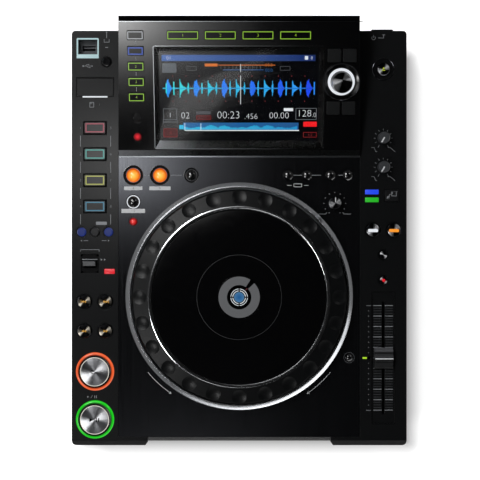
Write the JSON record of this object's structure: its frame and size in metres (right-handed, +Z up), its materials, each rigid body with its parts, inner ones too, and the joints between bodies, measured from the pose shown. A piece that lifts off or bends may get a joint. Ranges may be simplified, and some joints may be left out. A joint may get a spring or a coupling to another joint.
{
  "type": "tabletop disc player",
  "caption": "Tabletop DJ disc player with a slot-loading drive, tilted touch screen, large jog wheel, tempo fader and lit keys.",
  "frame": {"origin": "centre of the footprint, on the surface the feet stand on", "axes": "+X to the right, +Y to the back where the sockets are, +Z up"},
  "size_m": [0.32, 0.406, 0.1138],
  "materials": {
    "black_abs": "fine satin grain",
    "brushed_black": "brushed black hairline",
    "tray_paint": "powder coat",
    "gloss_black": "high gloss",
    "soft_black": "satin",
    "cover_glass": "clear, dark behind",
    "screen": "lit display",
    "silver_ring": "turned and knurled",
    "spun_silver": "spun disc finish",
    "sheet_zinc": "zinc plated",
    "socket_metal": "nickel plated",
    "board_green": "solder resist",
    "rubber_foot": "moulded",
    "lit_lens": "lit translucent",
    "orange_lens": "lit translucent orange",
    "cue_lit": "clear key over a dim lamp"
  },
  "bodies": {
    "player": {"base_tray": "tray_paint", "top_case": "black_abs", "deck_plate": "brushed_black", "display_housing": "gloss_black", "display_glass": "cover_glass", "display_module": "screen", "jog_trim_ring": "silver_ring", "jog_bearing": "sheet_zinc", "jog_display": "screen", "rear_panel": "tray_paint", "rear_sockets": "socket_metal", "circuit_boards": "board_green", "power_supply": "board_green", "drive_frame": "sheet_zinc", "slot_bezel": "soft_black", "feet": "rubber_foot", "screws": "sheet_zinc", "lamp_lenses": "lit_lens", "media_sockets": "socket_metal", "fader_unit": "sheet_zinc"},
    "jog_wheel": {"jog_wheel": "soft_black"},
    "jog_plate": {"jog_plate": "gloss_black"},
    "play_button": {"play_button": "spun_silver"},
    "cue_button": {"cue_button": "spun_silver"},
    "tempo_knob": {"tempo_knob": "soft_black"},
    "direction_lever": {"direction_lever": "silver_ring"},
    "selector_shaft": {"selector_shaft": "sheet_zinc"},
    "selector_knob": {"selector_knob": "spun_silver"},
    "hot_cue_a": {"hot_cue_a": "cue_lit"},
    "hot_cue_b": {"hot_cue_b": "cue_lit"},
    "hot_cue_c": {"hot_cue_c": "cue_lit"},
    "hot_cue_d": {"hot_cue_d": "cue_lit"},
    "track_keys": {"track_keys": "spun_silver"},
    "search_keys": {"search_keys": "spun_silver"},
    "loop_in_button": {"loop_in_button": "orange_lens"},
    "loop_out_button": {"loop_out_button": "orange_lens"},
    "reloop_button": {"reloop_button": "soft_black"},
    "beat_loop_button": {"beat_loop_button": "soft_black"},
    "slip_button": {"slip_button": "soft_black"},
    "memory_keys": {"memory_keys": "soft_black"},
    "delete_button": {"delete_button": "soft_black"},
    "tempo_reset_button": {"tempo_reset_button": "soft_black"},
    "eject_button": {"eject_button": "soft_black"},
    "jog_mode_button": {"jog_mode_button": "soft_black"},
    "sync_keys": {"sync_keys": "spun_silver"},
    "tempo_keys": {"tempo_keys": "soft_black"},
    "usb_stop_button": {"usb_stop_button": "soft_black"},
    "bank_keys": {"bank_keys": "soft_black"},
    "jog_adjust_knob": {"jog_adjust_knob": "silver_ring"},
    "touch_speed_knob": {"touch_speed_knob": "soft_black"},
    "release_speed_knob": {"release_speed_knob": "soft_black"},
    "power_button": {"power_button": "soft_black"},
    "time_mode_button": {"time_mode_button": "soft_black"},
    "quantize_button": {"quantize_button": "soft_black"},
    "source_keys": {"source_keys": "soft_black"},
    "menu_keys": {"menu_keys": "soft_black"},
    "pad_keys": {"pad_keys": "soft_black"},
    "sd_door": {"sd_door": "soft_black"},
    "turntable": {"turntable": "soft_black"},
    "pickup_sled": {"pickup_sled": "sheet_zinc"}
  },
  "joints": [
    {"name": "jog_spin", "type": "hinge", "parent": "player", "child": "jog_wheel", "pos_m": [0, -0.0592, 0.1], "axis": [0, 0, 1], "continuous": true},
    {"name": "jog_press", "type": "slide", "parent": "jog_wheel", "child": "jog_plate", "axis": [0, 0, -1], "range_m": [0, 0.0003], "stiffness_N_per_m": 20000, "springref_m": -0.0001},
    {"name": "play_press", "type": "slide", "parent": "player", "child": "play_button", "axis": [0, 0, -1], "range_m": [0, 0.0012], "stiffness_N_per_m": 900, "springref_m": -0.0003},
    {"name": "cue_press", "type": "slide", "parent": "player", "child": "cue_button", "axis": [0, 0, -1], "range_m": [0, 0.0012], "stiffness_N_per_m": 900, "springref_m": -0.0003},
    {"name": "tempo_slide", "type": "slide", "parent": "player", "child": "tempo_knob", "axis": [0, 1, 0], "range_m": [-0.05, 0.05]},
    {"name": "direction_tilt", "type": "hinge", "parent": "player", "child": "direction_lever", "pos_m": [-0.1428, -0.0282, 0.0735], "axis": [1, 0, 0], "range_deg": [-10, 10]},
    {"name": "selector_press", "type": "slide", "parent": "player", "child": "selector_shaft", "axis": [0, 0.2474, -0.9689], "range_m": [0, 0.0008], "stiffness_N_per_m": 1200, "springref_m": -0.0003},
    {"name": "selector_turn", "type": "hinge", "parent": "selector_shaft", "child": "selector_knob", "pos_m": [0.0957, 0.14249, 0.09996], "axis": [0, -0.2474, 0.9689], "continuous": true},
    {"name": "hot_cue_a_press", "type": "slide", "parent": "player", "child": "hot_cue_a", "axis": [0, 0, -1], "range_m": [0, 0.0008], "stiffness_N_per_m": 800, "springref_m": -0.0003},
    {"name": "hot_cue_b_press", "type": "slide", "parent": "player", "child": "hot_cue_b", "axis": [0, 0, -1], "range_m": [0, 0.0008], "stiffness_N_per_m": 800, "springref_m": -0.0003},
    {"name": "hot_cue_c_press", "type": "slide", "parent": "player", "child": "hot_cue_c", "axis": [0, 0, -1], "range_m": [0, 0.0008], "stiffness_N_per_m": 800, "springref_m": -0.0003},
    {"name": "hot_cue_d_press", "type": "slide", "parent": "player", "child": "hot_cue_d", "axis": [0, 0, -1], "range_m": [0, 0.0008], "stiffness_N_per_m": 800, "springref_m": -0.0003},
    {"name": "track_press", "type": "slide", "parent": "player", "child": "track_keys", "axis": [0, 0, -1], "range_m": [0, 0.0008], "stiffness_N_per_m": 800, "springref_m": -0.0003},
    {"name": "search_press", "type": "slide", "parent": "player", "child": "search_keys", "axis": [0, 0, -1], "range_m": [0, 0.0008], "stiffness_N_per_m": 800, "springref_m": -0.0003},
    {"name": "loop_in_press", "type": "slide", "parent": "player", "child": "loop_in_button", "axis": [0, 0, -1], "range_m": [0, 0.0008], "stiffness_N_per_m": 800, "springref_m": -0.0003},
    {"name": "loop_out_press", "type": "slide", "parent": "player", "child": "loop_out_button", "axis": [0, 0, -1], "range_m": [0, 0.0008], "stiffness_N_per_m": 800, "springref_m": -0.0003},
    {"name": "reloop_press", "type": "slide", "parent": "player", "child": "reloop_button", "axis": [0, 0, -1], "range_m": [0, 0.0008], "stiffness_N_per_m": 800, "springref_m": -0.0003},
    {"name": "beat_loop_press", "type": "slide", "parent": "player", "child": "beat_loop_button", "axis": [0, 0, -1], "range_m": [0, 0.0008], "stiffness_N_per_m": 800, "springref_m": -0.0003},
    {"name": "slip_press", "type": "slide", "parent": "player", "child": "slip_button", "axis": [0, 0, -1], "range_m": [0, 0.0008], "stiffness_N_per_m": 800, "springref_m": -0.0003},
    {"name": "memory_press", "type": "slide", "parent": "player", "child": "memory_keys", "axis": [0, 0, -1], "range_m": [0, 0.0008], "stiffness_N_per_m": 800, "springref_m": -0.0003},
    {"name": "delete_press", "type": "slide", "parent": "player", "child": "delete_button", "axis": [0, 0, -1], "range_m": [0, 0.0008], "stiffness_N_per_m": 800, "springref_m": -0.0003},
    {"name": "tempo_reset_press", "type": "slide", "parent": "player", "child": "tempo_reset_button", "axis": [0, 0, -1], "range_m": [0, 0.0008], "stiffness_N_per_m": 800, "springref_m": -0.0003},
    {"name": "eject_press", "type": "slide", "parent": "player", "child": "eject_button", "axis": [0, 0, -1], "range_m": [0, 0.0008], "stiffness_N_per_m": 800, "springref_m": -0.0003},
    {"name": "jog_mode_press", "type": "slide", "parent": "player", "child": "jog_mode_button", "axis": [0, 0, -1], "range_m": [0, 0.0008], "stiffness_N_per_m": 800, "springref_m": -0.0003},
    {"name": "sync_press", "type": "slide", "parent": "player", "child": "sync_keys", "axis": [0, 0, -1], "range_m": [0, 0.0008], "stiffness_N_per_m": 800, "springref_m": -0.0003},
    {"name": "tempo_press", "type": "slide", "parent": "player", "child": "tempo_keys", "axis": [0, 0, -1], "range_m": [0, 0.0008], "stiffness_N_per_m": 800, "springref_m": -0.0003},
    {"name": "usb_stop_press", "type": "slide", "parent": "player", "child": "usb_stop_button", "axis": [0, 0, -1], "range_m": [0, 0.0008], "stiffness_N_per_m": 800, "springref_m": -0.0003},
    {"name": "bank_press", "type": "slide", "parent": "player", "child": "bank_keys", "axis": [0, 0, -1], "range_m": [0, 0.0008], "stiffness_N_per_m": 800, "springref_m": -0.0003},
    {"name": "jog_adjust_turn", "type": "hinge", "parent": "player", "child": "jog_adjust_knob", "pos_m": [0.0913, 0.0294, 0.08], "axis": [0, 0, 1], "range_deg": [-150, 150]},
    {"name": "touch_speed_turn", "type": "hinge", "parent": "player", "child": "touch_speed_knob", "pos_m": [0.1377, 0.0917, 0.08], "axis": [0, 0, 1], "range_deg": [-300, 0]},
    {"name": "release_speed_turn", "type": "hinge", "parent": "player", "child": "release_speed_knob", "pos_m": [0.1377, 0.0639, 0.08], "axis": [0, 0, 1], "range_deg": [-300, 0]},
    {"name": "power_press", "type": "slide", "parent": "player", "child": "power_button", "axis": [0, -1, 0], "range_m": [0, 0.002], "stiffness_N_per_m": 700, "springref_m": -0.0003},
    {"name": "time_mode_press", "type": "slide", "parent": "player", "child": "time_mode_button", "axis": [0, 0.2474, -0.9689], "range_m": [0, 0.0008], "stiffness_N_per_m": 800, "springref_m": -0.0003},
    {"name": "quantize_press", "type": "slide", "parent": "player", "child": "quantize_button", "axis": [0, 0.2474, -0.9689], "range_m": [0, 0.0008], "stiffness_N_per_m": 800, "springref_m": -0.0003},
    {"name": "source_press", "type": "slide", "parent": "player", "child": "source_keys", "axis": [0, 0.2474, -0.9689], "range_m": [0, 0.0008], "stiffness_N_per_m": 800, "springref_m": -0.0003},
    {"name": "menu_press", "type": "slide", "parent": "player", "child": "menu_keys", "axis": [0, 0.2474, -0.9689], "range_m": [0, 0.0008], "stiffness_N_per_m": 800, "springref_m": -0.0003},
    {"name": "pad_press", "type": "slide", "parent": "player", "child": "pad_keys", "axis": [0, 0.2474, -0.9689], "range_m": [0, 0.0008], "stiffness_N_per_m": 800, "springref_m": -0.0003},
    {"name": "sd_door_swing", "type": "hinge", "parent": "player", "child": "sd_door", "pos_m": [-0.1377, 0.14845, 0.07915], "axis": [-1, 0, 0], "range_deg": [0, 95]},
    {"name": "disc_spin", "type": "hinge", "parent": "player", "child": "turntable", "pos_m": [0, -0.1331, 0.05], "axis": [0, 0, 1], "continuous": true},
    {"name": "sled_slide", "type": "slide", "parent": "player", "child": "pickup_sled", "axis": [0, 1, 0], "range_m": [0, 0.034]}
  ]
}
